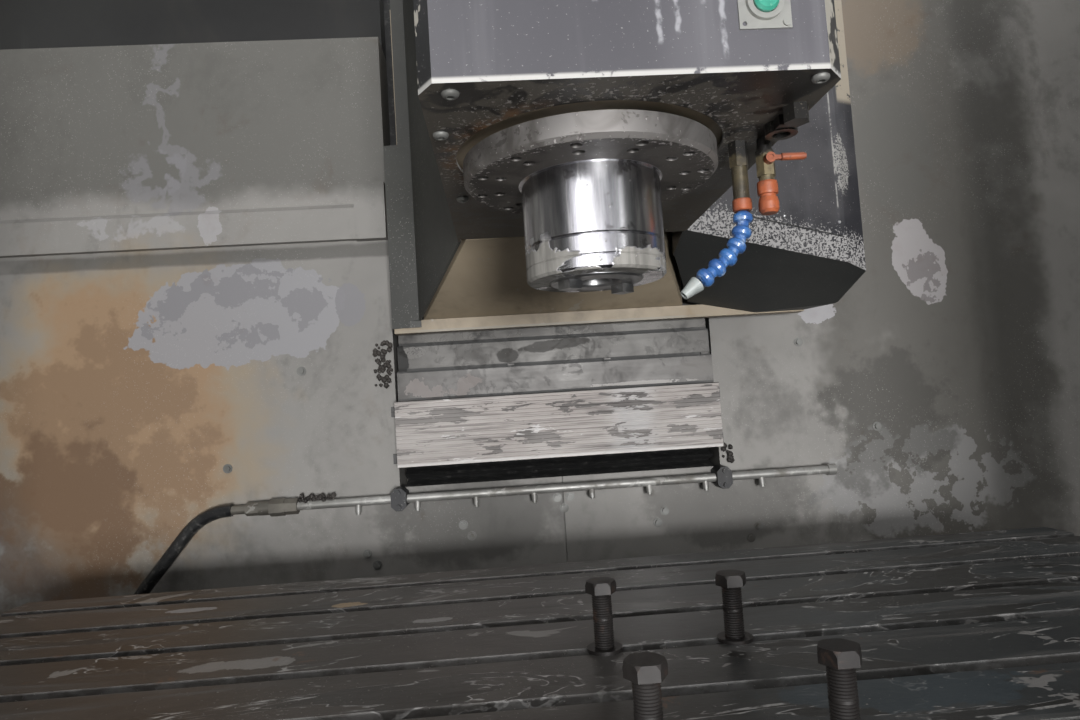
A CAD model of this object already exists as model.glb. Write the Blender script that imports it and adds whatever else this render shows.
"""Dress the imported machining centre: camera, light, finishes, fasteners and trim.

The frame is in metres: X to the operator's right, Y towards the column, Z up from the floor.
Work heights are given from the table top, and depths from the spindle axis, as on the real
machine; `at` turns such millimetres into the frame's metres.
"""
from __future__ import annotations

import logging
import math
from dataclasses import dataclass, field
from enum import Enum
from typing import Any, Sequence

import bpy
import numpy as np
from mathutils import Matrix

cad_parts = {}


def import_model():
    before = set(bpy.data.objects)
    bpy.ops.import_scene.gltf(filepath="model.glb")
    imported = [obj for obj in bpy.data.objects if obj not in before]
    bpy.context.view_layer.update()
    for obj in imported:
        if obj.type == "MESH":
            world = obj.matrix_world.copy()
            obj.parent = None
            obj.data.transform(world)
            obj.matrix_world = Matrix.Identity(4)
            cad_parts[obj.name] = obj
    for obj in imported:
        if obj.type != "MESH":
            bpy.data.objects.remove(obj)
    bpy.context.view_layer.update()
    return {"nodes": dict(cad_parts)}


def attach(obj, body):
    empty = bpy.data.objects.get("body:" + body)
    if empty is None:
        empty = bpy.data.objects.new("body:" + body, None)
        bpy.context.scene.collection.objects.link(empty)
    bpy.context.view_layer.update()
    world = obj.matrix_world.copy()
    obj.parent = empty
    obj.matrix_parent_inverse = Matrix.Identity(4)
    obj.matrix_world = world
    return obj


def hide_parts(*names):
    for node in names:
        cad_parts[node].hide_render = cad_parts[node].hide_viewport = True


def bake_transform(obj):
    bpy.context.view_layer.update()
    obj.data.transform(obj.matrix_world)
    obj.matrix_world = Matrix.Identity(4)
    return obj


LOG = logging.getLogger("machining_centre")
Colour = tuple[float, float, float]
AXIS_Y = 0.356
TABLE_Z = 0.920
MAX_OCTAVES = 4.0
"""Most octaves of any noise, which keeps the render short."""
EDGE_WAVES = ((8, 6.0), (18, 12.0), (math.inf, 26.0))
"""Limits of a patch's scale and the waves per metre that its ragged edge takes below each."""
EDGE_SHIFT = 2.1
"""Offset between the two edge patterns that patches take in turn."""


def at(x: float, y: float, z: float) -> tuple[float, float, float]:
    """Turn spindle-axis, table-top millimetres into the frame's metres."""
    return (x / 1000, y / 1000 - AXIS_Y, z / 1000 + TABLE_Z)


def place(points: np.ndarray) -> np.ndarray:
    """Turn an array of spindle-axis millimetres, last axis xyz, into the frame's metres."""
    return np.asarray(points, float) / 1000 + np.array([0.0, -AXIS_Y, TABLE_Z])


# ---------------------------------------------------------------- shader graph


class Wire:
    """One value socket on which Python's operators add Math nodes."""

    def __init__(self, graph: "Graph", socket: Any) -> None:
        """Keep the graph and the socket."""
        self.graph = graph
        self.socket = socket

    def math(self, operation: str, *others: Any) -> "Wire":
        """Add one Math node.

        Args:
            operation: the Math node's operation.
            others: the second and third values or wires.

        Returns:
            The node's value.
        """
        values = {i: v for i, v in enumerate((self, *others))}
        return self.graph.node("ShaderNodeMath", {"operation": operation}, values)

    def __add__(self, other: Any) -> "Wire":
        """Sum."""
        return self.math("ADD", other)

    __radd__ = __add__

    def __mul__(self, other: Any) -> "Wire":
        """Product."""
        return self.math("MULTIPLY", other)

    __rmul__ = __mul__

    def __sub__(self, other: Any) -> "Wire":
        """Difference."""
        return self.math("SUBTRACT", other)

    def __rsub__(self, other: float) -> "Wire":
        """Difference from a number."""
        return self.graph.node("ShaderNodeMath", {"operation": "SUBTRACT"}, {0: other, 1: self})

    def __truediv__(self, other: Any) -> "Wire":
        """Quotient."""
        return self.math("DIVIDE", other)

    def __pow__(self, other: float) -> "Wire":
        """Power."""
        return self.math("POWER", other)

    def __abs__(self) -> "Wire":
        """Absolute value."""
        return self.math("ABSOLUTE")

    def top(self, other: Any) -> "Wire":
        """The larger of two."""
        return self.math("MAXIMUM", other)

    def low(self, other: Any) -> "Wire":
        """The smaller of two."""
        return self.math("MINIMUM", other)

    def ease(self, start: float, end: float) -> "Wire":
        """Smooth step.

        Args:
            start: where the step is 0.
            end: where the step is 1; it may lie below start.

        Returns:
            A wire from 0 to 1.
        """
        if end < start:
            return 1 - self.ease(end, start)
        return self.graph.node("ShaderNodeMapRange", {"interpolation_type": "SMOOTHSTEP"},
                               {0: self, 1: start, 2: end, 3: 0.0, 4: 1.0})


class Graph:
    """A material's node tree."""

    def __init__(self, name: str) -> None:
        """Start an empty material of that name."""
        self.material = bpy.data.materials.new(name)
        self.material.use_nodes = True
        self.tree = self.material.node_tree
        self.tree.nodes.clear()
        self._coords: Any = None
        self._noises: dict[tuple[Any, ...], Wire] = {}

    def node(self, kind: str, settings: dict[str, Any] | None = None,
             values: dict[Any, Any] | None = None, output: int | str = 0) -> Wire:
        """Add any node.

        Args:
            kind: the node's type.
            settings: its settings, set first.
            values: socket name or index to a number, colour or wire.
            output: which output the wire carries.

        Returns:
            The chosen output as a wire.
        """
        made = self.tree.nodes.new(kind)
        for key, value in (settings or {}).items():
            setattr(made, key, value)
        for key, value in (values or {}).items():
            socket = made.inputs[key]
            if isinstance(value, Wire):
                self.tree.links.new(value.socket, socket)
            elif socket.type == "RGBA" and len(value) == 3:
                socket.default_value = (*value, 1.0)
            else:
                socket.default_value = value
        return Wire(self, made.outputs[output])

    def coords(self) -> Wire:
        """The object's own coordinates, which are the frame's metres."""
        if self._coords is None:
            self._coords = self.node("ShaderNodeTexCoord", output="Object")
        return self._coords

    def scaled(self, x: float, y: float, z: float, shift: Sequence[float] = (0, 0, 0)) -> Wire:
        """Object coordinates times a scale along each axis, after a shift."""
        return self.node("ShaderNodeMapping", {}, {"Vector": self.coords(), "Scale": (x, y, z),
                                                   "Location": tuple(shift)})

    def parts(self) -> tuple[Wire, Wire, Wire]:
        """The three object coordinates."""
        split = self.node("ShaderNodeSeparateXYZ", {}, {0: self.coords()}).socket.node
        return tuple(Wire(self, split.outputs[i]) for i in range(3))

    def noise(self, scale: float, stretch: Sequence[float] = (1, 1, 1), detail: float = 4.0,
              rough: float = 0.55, warp: float = 0.0, shift: float = 0.0) -> Wire:
        """Fractal noise on object coordinates.

        Args:
            scale: waves per metre before the stretch.
            stretch: factor along each axis.
            detail: octaves.
            rough: weight of the finer octaves.
            warp: distortion.
            shift: offset that sets one pattern apart from another.

        Returns:
            The noise, about 0.5 on average.
        """
        key = (scale, tuple(stretch), detail, rough, warp, round(shift, 3))
        if key not in self._noises:
            where = self.scaled(*stretch, shift=(shift, shift * 0.7, -shift))
            self._noises[key] = self.node("ShaderNodeTexNoise", {}, {
                "Vector": where, "Scale": scale, "Detail": min(detail, MAX_OCTAVES), "Roughness": rough,
                "Distortion": warp})
        return self._noises[key]

    def cells(self, scale: float) -> Wire:
        """Voronoi distance on object coordinates."""
        return self.node("ShaderNodeTexVoronoi", {"feature": "F1"},
                         {"Vector": self.scaled(1, 1, 1), "Scale": scale}, output="Distance")

    def mix(self, mask: Any, low: Any, high: Any) -> Wire:
        """Blend two colours by a mask."""
        return self.node("ShaderNodeMix", {"data_type": "RGBA"}, {0: mask, 6: low, 7: high}, output=2)

    def facing(self, x: float, y: float, z: float, start: float = 0.6, end: float = 0.9) -> Wire:
        """How far the surface faces a direction: the normal's dot product with it, eased."""
        normal = self.node("ShaderNodeTexCoord", output="Normal")
        dot = self.node("ShaderNodeVectorMath", {"operation": "DOT_PRODUCT"}, {0: normal, 1: (x, y, z)},
                        output="Value")
        return dot.ease(start, end)

    def grains(self, density: Any, scale: float = 300.0, shift: float = 4.0) -> Wire:
        """Fine grains whose share of the surface follows a density from 0 to 1."""
        level = self.noise(scale, detail=2.0, rough=0.6, shift=shift) + (density - 0.5) * 0.42
        return level.ease(0.5, 0.56)

    def veins(self, scale: float, width: float, stretch: Sequence[float] = (1, 1, 1),
              shift: float = 0.0) -> Wire:
        """Thin lines where a noise crosses its middle value."""
        wave = self.noise(scale, stretch, 5.0, 0.6, 0.3, shift)
        return abs(wave - 0.5).ease(width, width * 0.4)

    def blob(self, a: Wire, b: Wire, centre: Sequence[float], half: Sequence[float], ragged: float,
             scale: float = 18.0, soft: float = 0.06, tilt: float = 0.0, square: bool = False) -> Wire:
        """A patch with a ragged edge.

        The mask is 1 where the squared, scaled distance from the centre plus noise is below one.

        Args:
            a: first coordinate.
            b: second coordinate.
            centre: the patch's centre in those two.
            half: its half sizes.
            ragged: how far the edge wanders, 0 to about 2.
            scale: wanted waves per metre of the edge's noise; EDGE_WAVES rounds it.
            soft: half width of the edge, as a share of the half size.
            tilt: turn of the patch in degrees.
            square: whether the patch is a rectangle instead of an ellipse.

        Returns:
            A wire from 0 to 1.
        """
        cos, sin = math.cos(math.radians(tilt)), math.sin(math.radians(tilt))
        p, q = a - centre[0], b - centre[1]
        u = (p * cos + q * sin) / half[0]
        v = (q * cos - p * sin) / half[1]
        reach = abs(u).top(abs(v)) ** 2.0 if square else u * u + v * v
        coarse = next(waves for limit, waves in EDGE_WAVES if scale < limit)
        edge = (self.noise(coarse, detail=5.0, rough=0.66,
                           shift=int(centre[0] * 1000) % 2 * EDGE_SHIFT) - 0.5) * ragged
        return (reach + edge).ease(1.0 + soft, 1.0 - soft)

    def finish(self, colour: Any, rough: Any, metal: Any = 0.0, bump: Wire | None = None,
               depth: float = 0.0005, **sockets: Any) -> bpy.types.Material:
        """Close the graph with a Principled shader.

        Args:
            colour: base colour.
            rough: roughness.
            metal: metallic.
            bump: height for a Bump node.
            depth: the bump's distance in metres.
            sockets: constants for other Principled sockets, underscores for spaces.

        Returns:
            The material.
        """
        values: dict[Any, Any] = {"Base Color": colour, "Roughness": rough, "Metallic": metal}
        values.update({key.replace("_", " "): value for key, value in sockets.items()})
        if bump is not None:
            relief = {"Height": bump, "Distance": depth, "Strength": 1.0}
            values["Normal"] = self.node("ShaderNodeBump", {}, relief)
        shader = self.node("ShaderNodeBsdfPrincipled", {}, values)
        self.node_output(shader)
        return self.material

    def node_output(self, shader: Wire) -> None:
        """Link a shader to the material's output."""
        end = self.tree.nodes.new("ShaderNodeOutputMaterial")
        self.tree.links.new(shader.socket, end.inputs["Surface"])


# ---------------------------------------------------------------- finishes


class Fill(Enum):
    """How a patch fills its outline."""

    SOLID = "solid"
    BROKEN = "broken"
    GRAINS = "grains"
    VEINS = "veins"


@dataclass(frozen=True)
class Patch:
    """A placed mark: centre and half sizes in machine millimetres, outline, colour and fill."""

    centre: tuple[float, float]
    half: tuple[float, float]
    colour: Colour
    ragged: float = 2.6
    amount: float = 1.0
    fill: Fill = Fill.SOLID
    share: float = 0.6
    scale: float = 14.0
    soft: float = 0.06
    tilt: float = 0.0
    square: bool = False

    def mask(self, g: Graph, x: Wire, z: Wire) -> Wire:
        """The mark's mask on an upright face.

        Args:
            g: the material's graph.
            x: the object's x coordinate.
            z: the object's z coordinate.

        Returns:
            A wire from 0 to its amount.
        """
        centre = (self.centre[0] / 1000, self.centre[1] / 1000 + TABLE_Z)
        mask = g.blob(x, z, centre, (self.half[0] / 1000, self.half[1] / 1000), self.ragged, self.scale,
                      self.soft, self.tilt, self.square)
        if self.fill is Fill.BROKEN:
            level = 0.62 - 0.24 * self.share
            mask = mask * g.noise(17.0, detail=5.0, rough=0.62, shift=1.4).ease(level, level + 0.02)
        elif self.fill is Fill.GRAINS:
            mask = g.grains(mask * self.share)
        elif self.fill is Fill.VEINS:
            mask = mask * g.veins(9.0, 0.02 * self.share, shift=3.3)
        return mask * self.amount


@dataclass(frozen=True)
class Paint:
    """Old enamel: tone, grime, runs, chips, specks, rust and placed patches."""

    name: str
    base: Colour
    shade: Colour
    grime: Colour = (0.03, 0.027, 0.022)
    under: Colour = (0.42, 0.40, 0.36)
    rust: Colour = (0.20, 0.085, 0.03)
    rough: float = 0.42
    dirt: float = 0.45
    chips: float = 0.0
    specks: float = 0.0
    runs: float = 0.15
    rusting: float = 0.0
    speck_colour: Colour = (0.50, 0.49, 0.46)
    patches: tuple[Patch, ...] = ()

    def material(self) -> bpy.types.Material:
        """Build the material.

        Tone drifts on a coarse noise, runs are noise stretched down the face, chips and specks are
        thresholds of fine noise and of cell distance, and patches are ragged ellipses.

        Returns:
            The material.
        """
        g = Graph(self.name)
        tone = g.noise(3.1, (1, 1, 0.8), 6.0, 0.6, 0.4)
        fine = g.noise(46.0, detail=5.0, rough=0.6)
        grain = g.noise(420.0, detail=2.0)
        colour = g.mix(tone.ease(0.35, 0.68), self.base, self.shade)
        cloud = g.noise(7.0, (1, 1, 0.55), 8.0, 0.66, 0.7, shift=2.3)
        dirt = (cloud + fine * 0.35).ease(0.66, 0.92) * self.dirt
        colour = g.mix(dirt, colour, self.grime)
        rough = self.rough + tone * 0.16 - dirt * 0.06 + fine * 0.1
        height = grain * 0.08 + fine * 0.12
        if self.runs:
            streak = g.noise(30.0, (1, 1, 0.035), 3.0, 0.6, shift=5.1).ease(0.56, 0.8)
            streak = streak * g.noise(4.0, detail=2.0, shift=7.7).ease(0.42, 0.66)
            colour = g.mix(streak * self.runs, colour, self.speck_colour)
        x, _, z = g.parts()
        for patch in self.patches:
            mask = patch.mask(g, x, z)
            colour = g.mix(mask, colour, patch.colour)
        if self.rusting:
            red = (g.noise(9.0, detail=9.0, rough=0.7, warp=0.5, shift=11.0) + fine * 0.25).ease(0.70, 0.86)
            colour = g.mix(red * self.rusting, colour, self.rust)
            rough = rough + red * 0.25
        if self.chips:
            flake = (g.noise(26.0, detail=9.0, rough=0.68, shift=3.7) + g.noise(4.5, shift=1.9) * 0.5).ease(
                0.985 - 0.16 * self.chips, 1.0 - 0.16 * self.chips)
            colour = g.mix(flake, colour, self.under)
        if self.specks:
            dots = g.cells(330.0).ease(0.34, 0.22) * g.noise(190.0, shift=4.0).ease(0.50, 0.60)
            field_mask = g.noise(5.0, detail=4.0, shift=9.0).ease(0.40, 0.62)
            colour = g.mix(dots * field_mask * self.specks, colour, self.speck_colour)
        return g.finish(colour, rough, 0.0, height, 0.0009, Specular_IOR_Level=0.5)


@dataclass(frozen=True)
class Steel:
    """Bare metal: scratches along one direction, stains and a changing polish."""

    name: str
    base: Colour
    shade: Colour
    stain: Colour = (0.10, 0.085, 0.07)
    rough: float = 0.3
    spread: float = 0.2
    metal: float = 1.0
    stains: float = 0.4
    scratch: tuple[float, float, float] = (1.0, 1.0, 1.0)
    scratch_scale: float = 60.0
    scratches: float = 0.5
    rust: float = 0.0
    residue: float = 0.0
    residue_colour: Colour = (0.62, 0.61, 0.58)
    patches: tuple[Patch, ...] = ()

    def material(self) -> bpy.types.Material:
        """Build the material.

        Scratches are noise stretched along the polishing direction; stains, rust and dried coolant
        are thresholds of fractal noise that also dull the metal.

        Returns:
            The material.
        """
        g = Graph(self.name)
        tone = g.noise(11.0, detail=6.0, rough=0.6, warp=0.5)
        lines = g.noise(self.scratch_scale, self.scratch, 4.0, 0.7, shift=1.3)
        colour = g.mix(tone.ease(0.38, 0.66), self.base, self.shade)
        colour = g.mix(lines.ease(0.45, 0.75) * self.scratches * 0.5, colour, self.shade)
        stain = (g.noise(24.0, detail=8.0, rough=0.68, warp=0.6, shift=3.1) + tone * 0.3).ease(0.66, 0.86)
        stain = stain * self.stains
        colour = g.mix(stain, colour, self.stain)
        rough = self.rough + (tone - 0.5) * self.spread + lines * 0.12 + stain * 0.25
        metal = self.metal - stain * 0.6
        height = lines * 0.2 * self.scratches + g.noise(300.0) * 0.05
        if self.rust:
            red = g.noise(60.0, detail=7.0, rough=0.7, warp=0.4, shift=8.0).ease(0.55, 0.72) * self.rust
            colour = g.mix(red, colour, (0.13, 0.055, 0.025))
            rough = rough + red * 0.35
            metal = metal - red * 0.7
            height = height + red * 0.25
        if self.residue:
            film = (g.noise(34.0, detail=8.0, rough=0.66, warp=0.8, shift=6.0)
                    + g.noise(7.0, shift=2.0) * 0.7).ease(0.93, 0.97) * self.residue
            colour = g.mix(film, colour, self.residue_colour)
            rough = rough + film * 0.3
            metal = metal - film * 0.8
            height = height + film * 0.4
        if self.patches:
            x, _, z = g.parts()
            for patch in self.patches:
                mask = patch.mask(g, x, z)
                colour = g.mix(mask, colour, patch.colour)
                rough = rough + mask * 0.2
                metal = metal - mask * 0.7
        return g.finish(colour, rough.low(0.95), metal.top(0.0), height, 0.0006)


@dataclass(frozen=True)
class Moulded:
    """Rubber or plastic with dust, a fine grain and a slight change of tone."""

    name: str
    base: Colour
    shade: Colour
    dust: Colour = (0.30, 0.29, 0.27)
    rough: float = 0.45
    dusty: float = 0.3
    coat: float = 0.0

    def material(self) -> bpy.types.Material:
        """Build the material from two noises and a fine grain."""
        g = Graph(self.name)
        tone = g.noise(55.0, detail=5.0)
        dust = g.noise(90.0, detail=7.0, rough=0.65, shift=2.0).ease(0.52, 0.72) * self.dusty
        colour = g.mix(dust, g.mix(tone.ease(0.35, 0.65), self.base, self.shade), self.dust)
        rough = self.rough + dust * 0.35 + tone * 0.08
        height = g.noise(900.0, detail=2.0) * 0.1 + dust * 0.1
        return g.finish(colour, rough, 0.0, height, 0.0004, Coat_Weight=self.coat, Coat_Roughness=0.15)


@dataclass(frozen=True)
class Pane:
    """Laminated safety glass with a film of dried coolant."""

    name: str

    def material(self) -> bpy.types.Material:
        """Build the material: clear glass mixed with dull film by noise."""
        g = Graph(self.name)
        film = g.noise(8.0, (1, 1, 0.3), 6.0, 0.6).ease(0.40, 0.75)
        specks = g.cells(90.0).ease(0.22, 0.12)
        colour = g.mix(film, (0.30, 0.36, 0.37), (0.50, 0.52, 0.50))
        alpha = 0.30 + film * 0.22 + specks * 0.2
        g.material.surface_render_method = "BLENDED"
        return g.finish(colour, 0.08 + film * 0.25, 0.0, specks, 0.0003, Alpha=alpha, IOR=1.5)


PALE: Colour = (0.40, 0.39, 0.405)
GREY: Colour = (0.20, 0.195, 0.205)
SOOT: Colour = (0.055, 0.052, 0.046)
SAND: Colour = (0.30, 0.235, 0.155)
WALL_PATCHES = (
    Patch((-560, 770), (700, 150), (0.085, 0.082, 0.073), 1.2, 0.8, scale=3.0, soft=0.3, square=True),
    Patch((-760, 255), (240, 265), SAND, 3.2, 0.75, scale=4.0, soft=0.55),
    Patch((-770, 240), (175, 210), (0.30, 0.185, 0.10), 4.6, 0.75, scale=7.0, soft=0.5),
    Patch((-790, 180), (160, 205), (0.19, 0.12, 0.07), 6.5, 0.6, scale=11.0, soft=0.35),
    Patch((-850, 60), (130, 150), (0.10, 0.055, 0.03), 5.0, 0.6, scale=12.0, soft=0.4),
    Patch((-541, 405), (180, 90), (0.27, 0.265, 0.275), 2.2, 0.95, scale=11.0, soft=0.03),
    Patch((-530, 420), (160, 68), GREY, 4.0, 0.9, Fill.BROKEN, 0.50, 12.0, 0.04),
    Patch((-356, 415), (26, 36), GREY, 2.0, 0.9, scale=22.0, soft=0.04),
    Patch((-670, 780), (34, 160), GREY, 5.0, 0.5, Fill.VEINS, 2.6, 9.0, 0.2),
    Patch((-655, 660), (80, 60), GREY, 5.0, 0.6, Fill.VEINS, 3.6, 12.0, 0.2),
    Patch((-590, 566), (20, 32), PALE, 4.0, 0.5, scale=30.0, soft=0.05),
    Patch((-735, 572), (90, 22), PALE, 4.0, 0.4, Fill.VEINS, 3.0, 24.0, 0.2),
    Patch((-150, 25), (170, 75), SOOT, 3.4, 0.6, scale=8.0, soft=0.4),
    Patch((-560, 512), (420, 12), SOOT, 1.5, 0.6, scale=8.0, soft=0.5, square=True),
)
RIGHT_PATCHES = (
    Patch((700, 420), (190, 620), (0.085, 0.079, 0.069), 3.6, 0.78, scale=4.0, soft=0.4, square=True),
    Patch((656, 650), (76, 110), (0.11, 0.106, 0.097), 0.5, 0.75, scale=5.0, soft=0.1),
    Patch((686, 438), (44, 82), (0.36, 0.34, 0.34), 2.4, 0.95, scale=14.0, soft=0.04, tilt=22.0),
    Patch((690, 430), (34, 60), (0.17, 0.155, 0.155), 4.0, 0.8, Fill.BROKEN, 0.5, 18.0, 0.05, 22.0),
    Patch((482, 362), (34, 26), PALE, 3.0, 0.8, scale=20.0, soft=0.05),
    Patch((640, 45), (190, 95), (0.25, 0.245, 0.24), 4.0, 0.8, Fill.BROKEN, 0.62, 9.0, 0.2),
    Patch((600, 150), (110, 120), SOOT, 5.0, 0.6, scale=9.0, soft=0.35),
    Patch((300, 20), (150, 60), SOOT, 4.0, 0.5, scale=9.0, soft=0.4),
    Patch((640, 900), (90, 90), (0.20, 0.145, 0.095), 3.5, 0.5, scale=8.0, soft=0.5),
    Patch((850, 480), (60, 640), (0.05, 0.048, 0.043), 1.6, 0.55, scale=5.0, soft=0.95, square=True),
)


@dataclass(frozen=True)
class CoverPaint:
    """The head's folded cover: lilac-grey front, black chipped corners and a filthy underside."""

    name: str
    foot: float = 454.0
    drips: tuple[tuple[float, float, float], ...] = (
        (36, 496, 20), (50, 500, 17), (84, 492, 30), (70, 520, 14), (-10, 520, 10))

    def material(self) -> bpy.types.Material:
        """Build the material.

        The face's direction chooses between front, corners and underside; chips gather near the
        folds, drips are narrow wobbling bands and the lower edge is worn bright.

        Returns:
            The material.
        """
        g = Graph(self.name)
        x, y, z = g.parts()
        foot = self.foot / 1000 + TABLE_Z
        front, under = g.facing(0, -1, 0, 0.80, 0.95), g.facing(0, 0, -1, 0.6, 0.9)
        tone = g.noise(4.0, (1, 1, 0.4), 5.0, 0.6, 0.3)
        fine = g.noise(60.0, detail=6.0, rough=0.65)
        sheet = g.mix(tone.ease(0.35, 0.65), (0.060, 0.058, 0.066), (0.090, 0.087, 0.097))
        wipe = g.noise(26.0, (1, 1, 0.05), 4.0, 0.6, shift=5.0).ease(0.50, 0.78)
        sheet = g.mix(wipe * 0.35, sheet, (0.20, 0.196, 0.21))
        side = g.mix(tone.ease(0.4, 0.6), (0.016, 0.016, 0.017), (0.034, 0.033, 0.033))
        colour = g.mix(front, side, sheet)
        wobble = (g.noise(40.0, (0.01, 1, 1), 2.0, shift=2.0) - 0.5) * 0.012
        spread = g.noise(90.0, detail=4.0, shift=7.0)
        for place_x, place_z, reach in self.drips:
            across = abs(x + wobble - place_x / 1000).ease(0.0030, 0.0008)
            along = abs(z - (place_z / 1000 + TABLE_Z)).ease(reach / 1000, reach / 1400)
            colour = g.mix(across * along * front * spread.ease(0.34, 0.58) * 0.6, colour, (0.36, 0.36, 0.38))
        nicks = g.noise(30.0, (1, 1, 0.7), 9.0, 0.7, shift=3.7) + g.noise(5.0, shift=1.9) * 0.4
        nicks = nicks.ease(0.915, 0.93)
        colour = g.mix(nicks * front * 0.7, colour, (0.44, 0.44, 0.45))
        corner = (1 - front) * (1 - under)
        near = (0.0 - y).ease(0.14, 0.166)
        flake = (g.noise(24.0, (1, 1, 0.6), 9.0, 0.7, shift=6.0) + near * 0.09).ease(0.60, 0.615)
        colour = g.mix(flake * corner * near, colour, (0.33, 0.31, 0.27))
        rim = (z - foot).ease(0.0055, 0.0025) * fine.ease(0.38, 0.46) * (1 - under)
        colour = g.mix(rim * 0.85, colour, (0.46, 0.45, 0.43))
        # underside: brown-grey film, black blotches, pale crumbs and a rusty ring at the flange
        blot = g.noise(19.0, detail=9.0, rough=0.68, warp=0.8, shift=8.0)
        film = g.mix(blot.ease(0.50, 0.56), (0.085, 0.075, 0.062), (0.016, 0.014, 0.012))
        centre = g.node("ShaderNodeVectorMath", {"operation": "MULTIPLY_ADD"},
                        {0: g.coords(), 1: (1, 1, 0), 2: (0, AXIS_Y, 0)})
        radius = g.node("ShaderNodeVectorMath", {"operation": "LENGTH"}, {0: centre}, output="Value")
        ring = radius.ease(0.148, 0.130) * (0.02 - x).ease(0.05, 0.10) * fine.ease(0.36, 0.62)
        film = g.mix(ring * 0.85, film, (0.17, 0.085, 0.035))
        crumbs = g.grains(radius.ease(0.19, 0.13) * 0.30 + 0.06, 240.0)
        film = g.mix(crumbs * 0.8, film, (0.30, 0.28, 0.26))
        colour = g.mix(under, colour, film)
        dust = g.grains(0.10, 420.0, 2.0)
        colour = g.mix(dust * 0.4, colour, (0.42, 0.41, 0.40))
        rough = 0.30 + tone * 0.14 + under * 0.22 - blot.ease(0.50, 0.56) * under * 0.2
        height = fine * 0.15 + crumbs * under * 0.6
        return g.finish(colour, rough, 0.0, height, 0.0010)


@dataclass(frozen=True)
class BoxPaint:
    """The right side box: blue-black sheet with a dense band of dried spray above its lower edge."""

    name: str

    def material(self) -> bpy.types.Material:
        """Build the material.

        The band's density falls with the distance above the slanting lower edge; a seam, a pale
        fold line and a beige strip are narrow bands of the coordinates.

        Returns:
            The material.
        """
        g = Graph(self.name)
        x, _, z = g.parts()
        front, under = g.facing(0, -1, 0, 0.45, 0.75), g.facing(0, 0, -1, 0.5, 0.8)
        tone = g.noise(7.0, detail=5.0, rough=0.6)
        fine = g.noise(70.0, detail=5.0, rough=0.65)
        colour = g.mix(tone.ease(0.38, 0.62), (0.020, 0.020, 0.024), (0.050, 0.048, 0.052))
        rub = g.noise(40.0, (1, 1, 0.12), 4.0, 0.6, shift=4.0).ease(0.5, 0.75)
        colour = g.mix(rub * 0.3, colour, (0.12, 0.12, 0.13))
        rise = z - (0.4530 + TABLE_Z) + (x - 0.198) * 0.2405
        ragged = (g.noise(30.0, detail=5.0, shift=6.0) - 0.5) * 0.02
        band = (rise + ragged).ease(0.066, 0.030)
        spray = g.grains(band * 0.62 + 0.02, 330.0) * front
        colour = g.mix(spray, colour, (0.28, 0.272, 0.268))
        clump = g.blob(x, z, (0.4267, 0.549 + TABLE_Z), (0.012, 0.045), 2.5, 30.0, 0.4)
        speck = g.grains(clump * 0.6 + 0.05, 380.0, 9.0) * front * (1 - band)
        colour = g.mix(speck * 0.7, colour, (0.34, 0.33, 0.31))
        fold = abs(x - 0.4152).ease(0.0016, 0.0006) * fine.ease(0.36, 0.55) * (z - 1.385).ease(0.0, 0.01)
        colour = g.mix(fold * front * 0.75, colour, (0.34, 0.33, 0.31))
        beige = (x - 0.428).ease(0.0, 0.004) * (z - 0.640 - TABLE_Z).ease(0.0, 0.012) * fine.ease(0.33, 0.42)
        colour = g.mix(beige * (1 - under) * 0.9, colour, (0.33, 0.29, 0.23))
        inside = (x - 0.279).ease(0.0, 0.002) * (x - 0.419).ease(0.002, 0.0)
        seam = abs(rise - 0.0385).ease(0.0014, 0.0007) * inside
        colour = g.mix(seam * front * 0.9, colour, (0.012, 0.012, 0.012))
        low = g.mix(tone.ease(0.35, 0.65), (0.018, 0.020, 0.020), (0.030, 0.031, 0.030))
        colour = g.mix(under, colour, g.mix(g.grains(0.16, 300.0, 3.0) * 0.3, low, (0.12, 0.12, 0.11)))
        rough = 0.34 + tone * 0.1 + spray * 0.35 + under * 0.12
        return g.finish(colour, rough, 0.0, spray * 0.6 + fine * 0.15 - seam * 1.5, 0.0009)


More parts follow.
